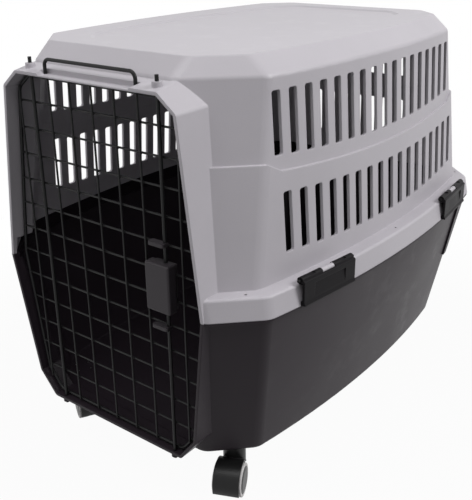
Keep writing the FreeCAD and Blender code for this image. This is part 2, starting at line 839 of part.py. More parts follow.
def make_grab_handle():
    """Bent wire handle with its legs through the sleeve's roof."""
    foot = COLLAR_TOP - s.collar_height
    (left, y), (right, y) = HANDLE_FEET
    points = [Vector(left, y, foot), Vector(left, y, HANDLE_TOP), Vector(right, y, HANDLE_TOP),
              Vector(right, y, foot)]
    feature("grab_handle", bent_wire(points, s.handle_bend, s.handle_wire))
    collars = []
    for name, (x, y) in zip(("left", "right"), HANDLE_FEET):
        place = Placement(Vector(x, y, COLLAR_TOP - s.collar_height), Rotation())
        disc = rod(f"collar_disc_{name}", "sizes.collar_dia / 2", "sizes.collar_height", place)
        bore = rod(f"collar_bore_{name}", "sizes.handle_wire / 2 + sizes.running_clearance",
                   "sizes.collar_height", place)
        collars.append(cut(f"handle_collar_{name}", disc, bore))
    group("handle_collars", collars)


# Side clips


def clip_shape():
    """Clip in its own frame: plate, knuckles behind its head, hook, flared foot and finger recess."""
    half = s.clip_length / 2
    inner = s.clip_gap
    outer = inner + s.clip_thickness
    hook_top = PARTING + s.catch_lift - s.clip_hook_gap
    hook_low = hook_top - s.clip_lip_height
    radius = s.knuckle_dia / 2
    hinge = -s.clip_hinge_inset
    notch = s.clip_notch / 2
    along = Vector(0, 1, 0)
    plate = box_between((inner, -half, hook_low), (outer, half, KNUCKLE_Z))
    head = [e for e in plate.Edges if e.BoundBox.YLength > half and e.CenterOfMass.x > inner
            and e.CenterOfMass.z > LEDGE]
    plate = plate.makeFillet(s.clip_thickness * 0.7, head)
    hook = box_between((-s.clip_lip, -half, hook_low), (outer, half, hook_top))
    flare = outer + s.clip_grip
    foot = prism_y([(inner, hook_low + s.clip_grip_height), (outer, hook_low + s.clip_grip_height),
                    (flare, hook_top), (flare, hook_low), (inner, hook_low)], half)
    knuckles = []
    for start in (-half, notch):
        reach = half - notch
        barrel = Part.makeCylinder(radius, reach, Vector(hinge, start, KNUCKLE_Z), along)
        web = box_between((hinge, start, KNUCKLE_Z - radius), (inner + s.float_gap, start + reach, KNUCKLE_Z))
        top = KNUCKLE_Z + radius
        middle = math.copysign(half - s.clip_recess_margin, start)
        dip = box_between((hinge - radius, middle - s.knuckle_dip_length / 2, top - s.knuckle_dip),
                          (radius, middle + s.knuckle_dip_length / 2, top))
        knuckles += [barrel.cut(dip), web]
    recess = prism_y([(outer, PARTING + s.clip_recess_head), (outer - s.clip_recess_depth,
                      PARTING + s.clip_recess_head), (outer, PARTING + s.clip_recess_foot)],
                     half - s.clip_recess_margin)
    bore = Part.makeCylinder(s.clip_pin_dia / 2 + s.running_clearance, s.clip_length,
                             Vector(hinge, -half, KNUCKLE_Z), along)
    return plate.multiFuse([hook, foot] + knuckles).cut([recess, bore]).removeSplitter()


def make_clips():
    """Four clips on their hinge pins."""
    pins = []
    shape = clip_shape()
    for name, (side, y) in CLIPS.items():
        place = clip_place(side, y)
        feature(f"clip_{name}", shape, place)
        pin_end = -s.clip_length / 2 - s.clip_pin_overhang
        start = Placement(Vector(-s.clip_hinge_inset, pin_end, KNUCKLE_Z), ALONG_Y)
        pins.append(rod(f"clip_pin_{name}", "sizes.clip_pin_dia / 2",
                        "sizes.clip_length + 2 * sizes.clip_pin_overhang", place.multiply(start)))
    group("clip_hinge_pins", pins)


# Wire door

FRAME_INSET = s.wall + s.door_gap - s.frame_wire / 2


def frame_half_width(z, clear):
    """Half width inside the door frame at one height, less a distance at each side."""
    outline = sleeve_outline(FRAME_INSET + clear)
    for (x0, z0), (x1, z1) in zip(outline, outline[1:]):
        if z1 <= z <= z0:
            return x0 + (x1 - x0) * (z0 - z) / (z0 - z1)
    raise ValueError("height outside the door frame")


def frame_reach(x, clear):
    """Lowest and highest height inside the door frame at one x, less a distance at each end."""
    outline = sleeve_outline(FRAME_INSET + clear)
    found = []
    for (x0, z0), (x1, z1) in ((outline[0], outline[1]), (outline[1], outline[2]), (outline[2], outline[3]),
                               (outline[3], outline[4])):
        if min(x0, x1) <= abs(x) <= max(x0, x1):
            found.append(z0 + (z1 - z0) * (abs(x) - x0) / (x1 - x0))
    if abs(x) < outline[0][0]:
        found.append(outline[0][1])
    if abs(x) < outline[4][0]:
        found.append(outline[4][1])
    return min(found), max(found)


def upright_places():
    """X positions of the door's upright wires."""
    inner = [i * s.upright_pitch for i in range(-2, 3)]
    return [-s.outer_upright] + inner + [s.outer_upright]


def wire_bar(name, start, direction, length):
    """One straight wire of the door's grid."""
    return bar(name, "sizes.grid_wire / 2", length, Placement(start, Rotation(Z_AXIS, direction)))


def make_door():
    """Frame wire, upright wires lapped in front of it and cross wires inside it."""
    right = sleeve_outline(FRAME_INSET)
    ring = right + [(-x, z) for x, z in reversed(right)]
    path = [Vector(x, DOOR_Y, z) for x, z in ring]
    feature("door_frame", bent_wire(path, s.frame_bend, s.frame_wire, True))
    uprights = []
    for i, x in enumerate(upright_places()):
        low, high = frame_reach(x, 0)
        uprights.append(wire_bar(f"upright_{i}", Vector(x, UPRIGHT_Y, low), Z_AXIS, high - low))
    group("door_upright_wires", uprights)
    rows = []
    butt = s.frame_wire / 2 + s.grid_wire / 2
    for i in range(int(s.row_count)):
        z = PARTING + s.row_top - i * s.row_pitch
        half = frame_half_width(z, butt)
        rows.append(wire_bar(f"row_{i}", Vector(-half, ROW_Y, z), Vector(1, 0, 0), 2 * half))
    group("door_cross_wires", rows)
    at_hinge = Placement(Vector(-s.hinge_offset, HINGE_Y, PIN_FOOT), Rotation())
    keep(bar("hinge_rod_bar", "sizes.rod_dia / 2", PIN_TOP - PIN_FOOT, at_hinge), "door_hinge_rod")


# Squeeze latch

LATCH_BACK = WIRE_FRONT - s.weld_gap
LATCH_FRONT = LATCH_BACK - s.latch_depth
LATCH_MID = PARTING + s.latch_centre_height
LATCH_TOP = LATCH_MID + s.latch_height / 2
LATCH_FOOT = LATCH_MID - s.latch_height / 2
SPRING_ROOM = s.rod_dia / 2 + s.slide_gap
UPPER_ROD_FOOT = LATCH_TOP - 2 * s.latch_wall
LOWER_ROD_HEAD = LATCH_FOOT + 2 * s.latch_wall
UPPER_SPRING_FOOT = LATCH_MID + s.latch_wall / 2
LOWER_SPRING_HEAD = LATCH_MID - s.latch_wall / 2
LATCH_SCREWS = [(s.latch_centre_x, LATCH_MID + sign * s.latch_height / 8) for sign in (-1, 1)]


def make_latch_housing():
    """Moulded housing in front of the grid, with a bore from each end for the rods and springs."""
    half = s.latch_width / 2
    low = (s.latch_centre_x - half, LATCH_FRONT, LATCH_FOOT)
    block = box_between(low, (s.latch_centre_x + half, LATCH_BACK, LATCH_TOP))
    front_edges = [e for e in block.Edges if e.CenterOfMass.y < LATCH_BACK - 0.01]
    block = block.makeFillet(s.latch_round, front_edges)
    tools = []
    x = s.latch_rod_offset
    for start, stop in ((UPPER_SPRING_FOOT, LATCH_TOP + s.latch_wall),
                        (LATCH_FOOT - s.latch_wall, LOWER_SPRING_HEAD)):
        tools.append(Part.makeCylinder(SPRING_ROOM, stop - start, Vector(x, LATCH_ROD_Y, start)))
        tools.append(box_between((x - SPRING_ROOM, LATCH_ROD_Y, start), (x + SPRING_ROOM, LATCH_BACK, stop)))
    for x, z in LATCH_SCREWS:
        tools.append(Part.makeCylinder(s.latch_screw_dia / 2 + s.running_clearance, s.latch_depth / 2,
                                       Vector(x, LATCH_BACK, z), Vector(0, -1, 0)))
    feature("latch_housing", block.cut(tools))


def make_latch_back():
    """Plate behind the grid and the two screws that draw it to the housing."""
    plate = bound("Part::Box", "latch_back_blank", Placement(
        Vector(s.latch_centre_x - s.latch_width / 2 + s.latch_wall, DOOR_Y + s.frame_wire / 2 + s.weld_gap,
               LATCH_FOOT + s.latch_wall), Rotation()),
        Length="sizes.latch_width - 2 * sizes.latch_wall", Width="sizes.latch_back_thickness",
        Height="sizes.latch_height - 2 * sizes.latch_wall")
    face = DOOR_Y + s.frame_wire / 2 + s.weld_gap + s.latch_back_thickness
    holes = []
    screws = []
    toward_front = Rotation(Vector(1, 0, 0), 90)
    for i, (x, z) in enumerate(LATCH_SCREWS):
        at_face = Placement(Vector(x, face, z), toward_front)
        holes.append(rod(f"latch_back_hole_{i}", "sizes.latch_screw_dia / 2 + sizes.running_clearance",
                         "sizes.latch_back_thickness", at_face))
        reach = face - LATCH_BACK + s.latch_depth / 2 - s.slide_gap
        shank = bar(f"latch_screw_shank_{i}", "sizes.latch_screw_dia / 2", reach, at_face)
        head = rod(f"latch_screw_head_{i}", "sizes.latch_screw_head / 2", "sizes.latch_screw_dia / 2",
                   Placement(Vector(x, face, z), ALONG_Y))
        screws.append(fuse(f"latch_screw_{i}", [shank, head]))
    keep(cut("latch_back_cut", plate, fuse("latch_back_holes", holes)), "latch_back_plate")
    group("latch_screws", screws)


def make_latch_rod(name, foot, head, tab_at, spring_foot, spring_head):
    """Sliding rod, the finger tab on it and the spring at its end."""
    x = s.latch_rod_offset
    at_foot = Placement(Vector(x, LATCH_ROD_Y, foot), Rotation())
    keep(bar(f"{name}_rod_bar", "sizes.rod_dia / 2", head - foot, at_foot), f"{name}_latch_rod")
    right = x + s.rod_dia / 2 + s.tab_margin
    left = right - s.tab_width
    front = LATCH_ROD_Y - s.tab_reach
    tab = box_between((left, front, tab_at - s.tab_thickness / 2),
                      (right, LATCH_ROD_Y + s.rod_dia / 2, tab_at + s.tab_thickness / 2))
    corners = [e for e in tab.Edges if e.BoundBox.ZLength > s.tab_thickness / 2
               and e.CenterOfMass.y < LATCH_ROD_Y]
    tab = tab.makeFillet(s.latch_round, corners)
    hole = Part.makeCylinder(s.rod_dia / 2 + s.running_clearance, 2 * s.tab_thickness,
                             Vector(x, LATCH_ROD_Y, tab_at - s.tab_thickness))
    slit = box_between((x - s.rod_dia / 2 - s.running_clearance, LATCH_ROD_Y, tab_at - s.tab_thickness),
                       (x + s.rod_dia / 2 + s.running_clearance, DOOR_Y, tab_at + s.tab_thickness))
    feature(f"{name}_finger_tab", tab.cut([hole, slit]))
    place = Placement(Vector(x, LATCH_ROD_Y, spring_foot), Rotation())
    length = spring_head - spring_foot
    outside = bar(f"{name}_spring_outside", "sizes.rod_dia / 2", length, place)
    inside = bar(f"{name}_spring_inside", "sizes.rod_dia / 2 - sizes.spring_wall", length, place)
    keep(cut(f"{name}_spring_tube", outside, inside), f"{name}_latch_spring")


def make_latch():
    """Housing, back plate and the two sprung rods."""
    make_latch_housing()
    make_latch_back()
    clear = s.latch_travel + s.tab_thickness / 2 + s.slide_gap
    gap = s.slide_gap
    make_latch_rod("upper", UPPER_ROD_FOOT, PIN_TOP, LATCH_TOP + clear,
                   UPPER_SPRING_FOOT + gap, UPPER_ROD_FOOT - gap)
    make_latch_rod("lower", PIN_FOOT, LOWER_ROD_HEAD, LATCH_FOOT - clear,
                   LOWER_ROD_HEAD + gap, LOWER_SPRING_HEAD - gap)


# Casters

AXLE_Z = s.wheel_dia / 2
MOUNT_LOW = s.ground_gap - s.mount_thickness
HOOD_TOP = MOUNT_LOW - s.float_gap
HOOD_INNER = s.wheel_dia / 2 + s.hood_gap
HOOD_OUTER = HOOD_INNER + s.hood_thickness
WHEEL_START = s.web_width / 2 + s.wheel_gap


def hood_sector():
    """Room that the hood covers round the axle, from low behind the wheels to over their front."""
    reach = 2 * s.wheel_dia
    fan = [Vector(s.caster_trail, -s.hood_width / 2, AXLE_Z)]
    for angle in (-22, 20, 62, 104, 140):
        turn = math.radians(angle)
        fan.append(fan[0] + Vector(math.cos(turn), 0, math.sin(turn)) * reach)
    return Part.Face(Part.makePolygon(fan + fan[:1])).extrude(Vector(0, s.hood_width, 0))


def across(radius, width):
    """Cylinder along the axle, centred on the caster."""
    return Part.makeCylinder(radius, width, Vector(s.caster_trail, -width / 2, AXLE_Z), Vector(0, 1, 0))


def hood_shape():
    """Swivelling hood: curved cover, neck round the stem and a web between the wheels."""
    cover = across(HOOD_OUTER, s.hood_width).common(hood_sector())
    neck_foot = AXLE_Z + s.wheel_dia / 4
    neck = Part.makeCylinder(s.neck_dia / 2, HOOD_TOP - neck_foot, Vector(0, 0, neck_foot))
    room = across(HOOD_INNER, 2 * s.hood_width)
    web = across(HOOD_INNER + s.hood_thickness / 2, s.web_width).common(hood_sector())
    bearer = across(s.axle_dia, s.web_width)
    strut = box_between((s.caster_trail - s.axle_dia, -s.web_width / 2, AXLE_Z),
                        (s.caster_trail + s.axle_dia, s.web_width / 2, AXLE_Z + s.wheel_dia / 2))
    hood = cover.fuse(neck).cut(room).multiFuse([web, bearer, strut])
    stem = Part.makeCylinder(s.stem_dia / 2 + s.running_clearance, s.stem_depth + s.float_gap,
                             Vector(0, 0, HOOD_TOP), -Z_AXIS)
    axle = across(s.axle_dia / 2 + s.running_clearance, s.web_width)
    return hood.cut([stem, axle]).removeSplitter()


def make_mount(name, place):
    """Fixed plate and stem under the base."""
    plate = rod(f"mount_plate_{name}", "sizes.mount_dia / 2", "sizes.mount_thickness",
                Placement(Vector(0, 0, MOUNT_LOW), Rotation()))
    stem = rod(f"mount_stem_{name}", "sizes.stem_dia / 2", "sizes.stem_depth",
               Placement(Vector(0, 0, MOUNT_LOW - s.stem_depth), Rotation()))
    holes = [rod(f"mount_hole_{name}_{i}", "sizes.mount_screw_dia / 2 + sizes.running_clearance",
                 "sizes.mount_thickness", Placement(spot + Vector(0, 0, MOUNT_LOW), Rotation()))
             for i, spot in enumerate(mount_screw_places())]
    holes += [rod(f"mount_sink_{name}_{i}", "sizes.mount_screw_head / 2 + sizes.running_clearance",
                  "sizes.mount_screw_head_height", Placement(spot + Vector(0, 0, MOUNT_LOW), Rotation()))
              for i, spot in enumerate(mount_screw_places())]
    blank = fuse(f"mount_blank_{name}", [plate, stem])
    keep(cut(f"mount_{name}", blank, fuse(f"mount_holes_{name}", holes), place), f"caster_mount_{name}")


def mount_screw(name, place, spot):
    """One screw up through the plate into the base, with its head sunk in the plate."""
    at_plate = Placement(spot + Vector(0, 0, MOUNT_LOW), Rotation())
    head = rod(f"screw_head_{name}", "sizes.mount_screw_head / 2", "sizes.mount_screw_head_height", at_plate)
    shank = rod(f"screw_shank_{name}", "sizes.mount_screw_dia / 2", "sizes.mount_screw_length", at_plate)
    return fuse(f"screw_{name}", [head, shank], place)


def make_wheel(name, place, sign):
    """One wheel of a pair: hub with a crowned face, and the tyre ring round it."""
    start = WHEEL_START if sign > 0 else -WHEEL_START
    outward = ALONG_Y if sign > 0 else Rotation(Vector(1, 0, 0), 90)
    at_hub = Placement(Vector(s.caster_trail, start, AXLE_Z), outward)
    at_face = Placement(Vector(s.caster_trail, start + sign * s.wheel_width, AXLE_Z), outward)
    disc = rod(f"hub_disc_{name}", "sizes.hub_dia / 2", "sizes.wheel_width", at_hub)
    crown = bound("Part::Cone", f"hub_crown_{name}", at_face, Radius1="sizes.hub_dia / 2",
                  Radius2="sizes.hub_dia / 2 - 4 * sizes.hub_crown", Height="sizes.hub_crown")
    bore = rod(f"hub_bore_{name}", "sizes.axle_dia / 2 + sizes.running_clearance", "sizes.wheel_width * 0.7",
               at_hub)
    keep(cut(f"hub_{name}", fuse(f"hub_blank_{name}", [disc, crown]), bore, place), f"wheel_hub_{name}")
    ring = rod(f"tyre_ring_{name}", "sizes.wheel_dia / 2", "sizes.wheel_width", at_hub)
    bored = rod(f"tyre_bore_{name}", "sizes.hub_dia / 2 + sizes.running_clearance", "sizes.wheel_width",
                at_hub)
    blank = cut(f"tyre_blank_{name}", ring, bored)
    doc.recompute()
    tyre = doc.addObject("Part::Fillet", f"tyre_{name}")
    tyre.Base = blank
    rims = [i for i, e in enumerate(blank.Shape.Edges, start=1)
            if len(e.Vertexes) == 1 and abs(e.Curve.Radius - s.wheel_dia / 2) < 0.01]
    tyre.Edges = [(i, s.hub_crown, s.hub_crown) for i in rims]
    tyre.Placement = place
    keep(tyre, f"tyre_{name}")


def make_casters():
    """Four swivel casters, each with a fixed mount, a hood, an axle and two wheels."""
    screws = []
    hood = hood_shape()
    axle_length = 2 * (WHEEL_START + 0.7 * s.wheel_width) - 2 * s.float_gap
    for name, (side, end, turn) in CASTERS.items():
        place = caster_place(side, end, turn)
        make_mount(name, place)
        screws += [mount_screw(f"{name}_{i}", place, spot) for i, spot in enumerate(mount_screw_places())]
        feature(f"caster_hood_{name}", hood, place)
        at_axle = place.multiply(Placement(Vector(s.caster_trail, -axle_length / 2, AXLE_Z), ALONG_Y))
        keep(bar(f"axle_{name}", "sizes.axle_dia / 2", axle_length, at_axle), f"caster_axle_{name}")
        for letter, sign in (("a", 1), ("b", -1)):
            make_wheel(f"{name}_{letter}", place, sign)
    group("caster_screws", screws)


make_top_shell()
make_base_shell()
make_grab_handle()
make_clips()
make_door()
make_latch()
make_casters()
doc.recompute()

for obj in doc.Objects:
    if "Invalid" in obj.State or "Error" in obj.State:
        raise RuntimeError(f"{obj.Name} failed: {obj.State}")
for label, obj in NODES.items():
    shape = obj.Shape
    if shape.isNull() or not shape.isValid() or not shape.Solids:
        raise RuntimeError(f"{label} has no valid solid")

os.makedirs("parts", exist_ok=True)
for label, obj in NODES.items():
    obj.Shape.exportStep(f"parts/{label}.step")
    print(label, len(obj.Shape.Solids), "solid(s)", round(obj.Shape.Volume / 1000, 2), "cm3")
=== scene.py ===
"""Looks of a pet carrier with a wire door and casters, laid out as an add-on and run as a script."""

import json
import math

import bmesh
import bpy
from bpy.props import FloatProperty, FloatVectorProperty, IntProperty, PointerProperty
from mathutils import Color, Matrix, Quaternion, Vector


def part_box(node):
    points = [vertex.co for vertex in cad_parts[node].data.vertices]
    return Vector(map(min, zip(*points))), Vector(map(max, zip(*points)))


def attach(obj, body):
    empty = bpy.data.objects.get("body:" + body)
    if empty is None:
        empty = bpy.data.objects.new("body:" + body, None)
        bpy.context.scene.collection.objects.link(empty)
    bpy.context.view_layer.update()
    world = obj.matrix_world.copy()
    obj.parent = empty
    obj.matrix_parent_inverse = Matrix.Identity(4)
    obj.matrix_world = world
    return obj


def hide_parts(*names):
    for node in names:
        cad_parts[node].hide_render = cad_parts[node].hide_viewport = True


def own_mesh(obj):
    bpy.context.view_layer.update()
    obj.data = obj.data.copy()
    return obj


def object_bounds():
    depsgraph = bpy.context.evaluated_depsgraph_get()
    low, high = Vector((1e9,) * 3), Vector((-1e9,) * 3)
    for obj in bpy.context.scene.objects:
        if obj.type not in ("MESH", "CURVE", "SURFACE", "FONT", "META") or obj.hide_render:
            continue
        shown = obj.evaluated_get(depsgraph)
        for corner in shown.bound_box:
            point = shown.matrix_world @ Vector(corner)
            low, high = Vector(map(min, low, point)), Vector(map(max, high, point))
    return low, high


bl_info = {
    "name": "Pet carrier looks",
    "version": (1, 0, 0),
    "blender": (4, 5, 0),
    "location": "3D View > Sidebar > Pet carrier",
    "description": "Finishes, small fittings and studio for a pet carrier with a wire door and casters",
    "category": "Object",
}

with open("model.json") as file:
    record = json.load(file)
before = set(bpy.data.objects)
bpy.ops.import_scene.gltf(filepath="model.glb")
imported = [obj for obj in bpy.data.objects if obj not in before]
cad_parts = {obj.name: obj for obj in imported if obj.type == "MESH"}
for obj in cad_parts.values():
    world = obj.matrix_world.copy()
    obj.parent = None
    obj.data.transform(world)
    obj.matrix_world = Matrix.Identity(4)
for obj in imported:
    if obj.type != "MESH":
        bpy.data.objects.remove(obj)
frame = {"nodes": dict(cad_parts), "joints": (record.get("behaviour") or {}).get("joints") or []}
CAD_LOW, CAD_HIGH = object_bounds()
NODES = frame["nodes"]

CORNERS = ("front_right", "front_left", "rear_right", "rear_left")
WHEELS = [f"{corner}_{side}" for corner in CORNERS for side in "ab"]
EYE_RAYS = ("Camera", "Glossy", "Transmission")
WHITE = (1.0, 1.0, 1.0, 1.0)
MIDDLE = 0.5

# Softened edges: rays per point, and the bend that starts and completes the edge mask
EDGE_SAMPLES = 6
EDGE_BEND = (0.01, 0.2)
# Size of the fine grain against the cells, and the stretch of turning marks along their axis
FINE_TO_CELL = 0.6
MARK_STRETCH = (1.0, 1.0, 9.0)
# Radians from one weld nugget to the next in the waves that vary their width and lean
SWELL_STEP = 7.0
LEAN_STEP = 3.0


# Shader values


class Value:
    """A shader socket that takes part in plain arithmetic, each step adding a Math node."""

    def __init__(self, graph, socket):
        self.graph = graph
        self.socket = socket

    def _math(self, operation, first, second):
        return self.graph.node("ShaderNodeMath", {"operation": operation}, {0: first, 1: second})

    def __add__(self, other):
        return self._math("ADD", self, other)

    def __radd__(self, other):
        return self._math("ADD", other, self)

    def __sub__(self, other):
        return self._math("SUBTRACT", self, other)

    def __rsub__(self, other):
        return self._math("SUBTRACT", other, self)

    def __mul__(self, other):
        return self._math("MULTIPLY", self, other)

    def __rmul__(self, other):
        return self._math("MULTIPLY", other, self)

    def most(self, other):
        return self._math("MAXIMUM", self, other)


class Graph:
    """A node tree, with one method that adds any node to it."""

    def __init__(self, tree):
        self.tree = tree
        tree.nodes.clear()

    def node(self, kind, settings=None, sockets=None, output=None):
        """Add a node: its settings first, then the values or links of its sockets."""
        made = self.tree.nodes.new(kind)
        for name, value in (settings or {}).items():
            setattr(made, name, value)
        for key, value in (sockets or {}).items():
            socket = find_socket(made.inputs, key)
            if isinstance(value, Value):
                self.tree.links.new(value.socket, socket)
            else:
                socket.default_value = value
        return Value(self, find_socket(made.outputs, output)) if made.outputs else None

    def mix(self, first, second, factor):
        """A colour between two colours."""
        return self.node("ShaderNodeMix", {"data_type": "RGBA"},
                         {"Factor": factor, "A": first, "B": second})

    def place(self):
        """Where a point of the piece is at rest, in metres."""
        return self.node("ShaderNodeTexCoord", output="Object")

    def noise(self, where, size, detail=2.0, roughness=0.5):
        """Cloudy noise about 0.5, with features of one size in metres."""
        return self.node("ShaderNodeTexNoise", sockets={
            "Vector": where,
            "Scale": 1.0 / size,
            "Detail": detail,
            "Roughness": roughness,
        })

    def pits(self, where, size):
        """Rounded cells of one size in metres, as on a grained mould."""
        return self.node("ShaderNodeTexVoronoi", {"feature": "SMOOTH_F1"},
                         {"Vector": where, "Scale": 1.0 / size, "Smoothness": 0.6})

    def smooth(self, value, low, high):
        """0 below one value, 1 above another, and smooth between them."""
        return self.node("ShaderNodeMapRange", {"interpolation_type": "SMOOTHSTEP"},
                         {"Value": value, "From Min": low, "From Max": high})

    def bump(self, height, depth, normal=None):
        """Relief of a depth in metres for a height between 0 and 1."""
        sockets = {"Height": height, "Distance": depth}
        if normal:
            sockets["Normal"] = normal
        return self.node("ShaderNodeBump", sockets=sockets)

    def surface(self, sockets):
        """The finished surface of a material."""
        shader = self.node("ShaderNodeBsdfPrincipled", sockets=sockets)
        self.node("ShaderNodeOutputMaterial", sockets={"Surface": shader})


def find_socket(sockets, key):
    """A socket by its place, by its name among those in use, or the first one in use."""
    if isinstance(key, int):
        return sockets[key]
    return next(s for s in sockets if s.enabled and key in (None, s.name))


def new_finish(name):
    """A new material and its empty node tree."""
    material = bpy.data.materials.new(name)
    material.use_nodes = True
    return material, Graph(material.node_tree)


def linear(colour, share=1.0):
    """A colour as written on screen, turned into light and scaled by a share."""
    light = Color(colour).from_srgb_to_scene_linear()
    return (light.r * share, light.g * share, light.b * share, 1.0)


# Finishes


def rounded_edges(graph, radius):
    """The normal with softened edges, and a mask that is 1 along those edges."""
    soft = graph.node("ShaderNodeBevel", {"samples": EDGE_SAMPLES}, {"Radius": radius})
    flat = graph.node("ShaderNodeNewGeometry", output="Normal")
    along = graph.node("ShaderNodeVectorMath", {"operation": "DOT_PRODUCT"}, {0: soft, 1: flat}, "Value")
    return soft, graph.smooth(1.0 - along, *EDGE_BEND)


def moulded(name, colour, roughness, grain, specular):
    """Grained moulded plastic, with softened edges and a painted highlight that makes the edges slightly
    paler.
    """
    look = bpy.context.scene.pet_carrier_finish
    material, graph = new_finish(name)
    where = graph.place()
    cloud = graph.noise(where, look.cloud_size, detail=3.0)
    fine = graph.noise(where, grain * FINE_TO_CELL, detail=3.0, roughness=0.6)
    cells = graph.pits(where, grain)
    normal, edge = rounded_edges(graph, look.edge_round)
    tone = graph.smooth(cloud * 0.6 + fine * 0.4, low=0.25, high=0.75)
    skin = graph.mix(linear(colour, 1.0 - look.tone), linear(colour, 1.0 + look.tone), tone)
    # Painted highlight: the edges are mixed toward a paler tone of the plastic.
    skin = graph.mix(skin, linear(colour, 1.0 + look.edge_highlight_tone), edge * look.edge_highlight_cover)
    patches = graph.noise(where, look.rub_size, detail=4.0, roughness=0.65)
    rub = graph.smooth(patches, low=MIDDLE, high=0.72)
    change = (cloud - MIDDLE) * look.cloud_roughness
    relief = graph.bump(cells * 0.7 + fine * 0.5, look.grain_depth, normal)
    graph.surface({
        "Base Color": skin,
        "Roughness": roughness + change - rub * look.rub_polish + edge * look.edge_roughness,
        "Specular IOR Level": specular,
        "Normal": relief,
    })
    return material


def coated_wire(name, colour, roughness):
    """Powder-coated steel wire: a slightly wavy skin with fine orange peel."""
    look = bpy.context.scene.pet_carrier_finish
    material, graph = new_finish(name)
    where = graph.place()
    waves = graph.noise(where, look.wire_wave, detail=2.0)
    peel = graph.noise(where, look.wire_peel, detail=2.0, roughness=0.6)
    patches = graph.noise(where, look.rub_size, detail=3.0)
    dust = graph.smooth(patches, low=MIDDLE, high=0.8)
    skin = graph.mix(linear(colour), linear(colour, share=1.6), waves)
    skin = graph.mix(skin, linear(colour, share=2.4), dust * look.dust_cover)
    relief = graph.bump(waves * 0.6 + peel * 0.4, look.wire_relief)
    graph.surface({
        "Base Color": skin,
        "Roughness": roughness + (peel - MIDDLE) * look.peel_roughness + dust * look.dust_roughness,
        "Specular IOR Level": look.wire_specular,
        "Normal": relief,
    })
    return material


def plated_steel(name, colour):
    """Zinc plate: bright, faintly blotched and drawn out along the turning marks."""
    look = bpy.context.scene.pet_carrier_finish
    material, graph = new_finish(name)
    where = graph.place()
    blotch = graph.noise(where, look.blotch_size, detail=3.0)
    lines = graph.node("ShaderNodeVectorMath", {"operation": "MULTIPLY"}, {0: where, 1: MARK_STRETCH})
    marks = graph.noise(lines, look.mark_size, detail=2.0)
    change = (marks - MIDDLE) * look.mark_roughness
    graph.surface({
        "Base Color": graph.mix(linear(colour, share=0.85), linear(colour, share=1.1), blotch),
        "Metallic": 1.0,
        "Roughness": look.plate_roughness + blotch * look.blotch_roughness + change,
        "Normal": graph.bump(marks, look.mark_depth),
    })
    return material


def tyre_rubber(name, colour):
    """Pale tyre: soft, matte, with a faint grey bloom and painted shade that darkens its edges and creases.
    """
    look = bpy.context.scene.pet_carrier_finish
    material, graph = new_finish(name)
    where = graph.place()
    patches = graph.noise(where, look.bloom_size, detail=4.0, roughness=0.6)
    bloom = graph.smooth(patches, low=0.35, high=0.75)
    fine = graph.noise(where, look.tyre_grain, detail=3.0, roughness=0.6)
    normal, edge = rounded_edges(graph, look.edge_round)
    skin = graph.mix(linear(colour, share=1.03), linear(colour, share=0.84), bloom * look.bloom_cover)
    # Painted shade: the tyre's edges and creases are mixed toward a darker tone.
    skin = graph.mix(skin, linear(colour, share=0.78), edge * look.tyre_edge_shade_cover)
    change = (fine - MIDDLE) * look.tyre_grain_roughness
    graph.surface({
        "Base Color": skin,
        "Roughness": look.tyre_roughness + bloom * look.bloom_roughness + change,
        "Specular IOR Level": look.tyre_specular,
        "Normal": graph.bump(fine, look.grain_depth, normal),
    })
    return material


def dress(material, *names):
    """Give solids of the frame one finish."""
    for name in names:
        mesh = NODES[name].data
        mesh.materials.clear()
        mesh.materials.append(material)


# Small fittings


def new_piece(name, mesh, material, body):
    """A new piece that rides on a body and takes the finish it is given."""
    piece = bpy.data.objects.new(name, mesh)
    bpy.context.scene.collection.objects.link(piece)
    mesh.materials.append(material)
    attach(piece, body)
    return piece


def straight_wires(node, across, along):
    """The wires of a node as (middle across, low end, high end), told apart by the gaps between them."""
    spots = sorted((v.co[across], v.co[along]) for v in NODES[node].data.vertices)
    gap = bpy.context.scene.pet_carrier_sizes.wire_gap
    groups = [[spots[0]]]
    for before, here in zip(spots, spots[1:]):
        if here[0] - before[0] > gap:
            groups.append([])
        groups[-1].append(here)
    wires = []
    for group in groups:
        ends = [spot[1] for spot in group]
        wires.append(((group[0][0] + group[-1][0]) / 2, min(ends), max(ends)))
    return wires


def weld_spots():
    """Where the door's uprights and cross wires touch."""
    uprights = straight_wires("door_upright_wires", 0, 2)
    rows = straight_wires("door_cross_wires", 2, 0)
    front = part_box("door_upright_wires")
    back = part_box("door_cross_wires")
    y = (front[1].y + back[0].y) / 2
    return [Vector((x, y, z)) for x, low, high in uprights for z, left, right in rows
            if low < z < high and left < x < right]


def weld_beads(sizes):
    """Flattened nuggets of weld, no two quite alike, as one mesh."""
    shape = bmesh.new()
    for index, spot in enumerate(weld_spots()):
        swell = 1.0 + sizes.weld_variation * math.sin(SWELL_STEP * index)
        lean = Matrix.Rotation(math.sin(LEAN_STEP * index), 4, "Y")
        half = Vector((sizes.weld_width * swell, sizes.weld_depth, sizes.weld_width / swell)) / 2
        place = Matrix.Translation(spot) @ lean @ Matrix.Diagonal((*half, 1.0))
        bmesh.ops.create_icosphere(shape, subdivisions=2, radius=1.0, matrix=place)
    for face in shape.faces:
        face.smooth = True
    mesh = bpy.data.meshes.new("door_welds")
    shape.to_mesh(mesh)
    shape.free()
    return mesh


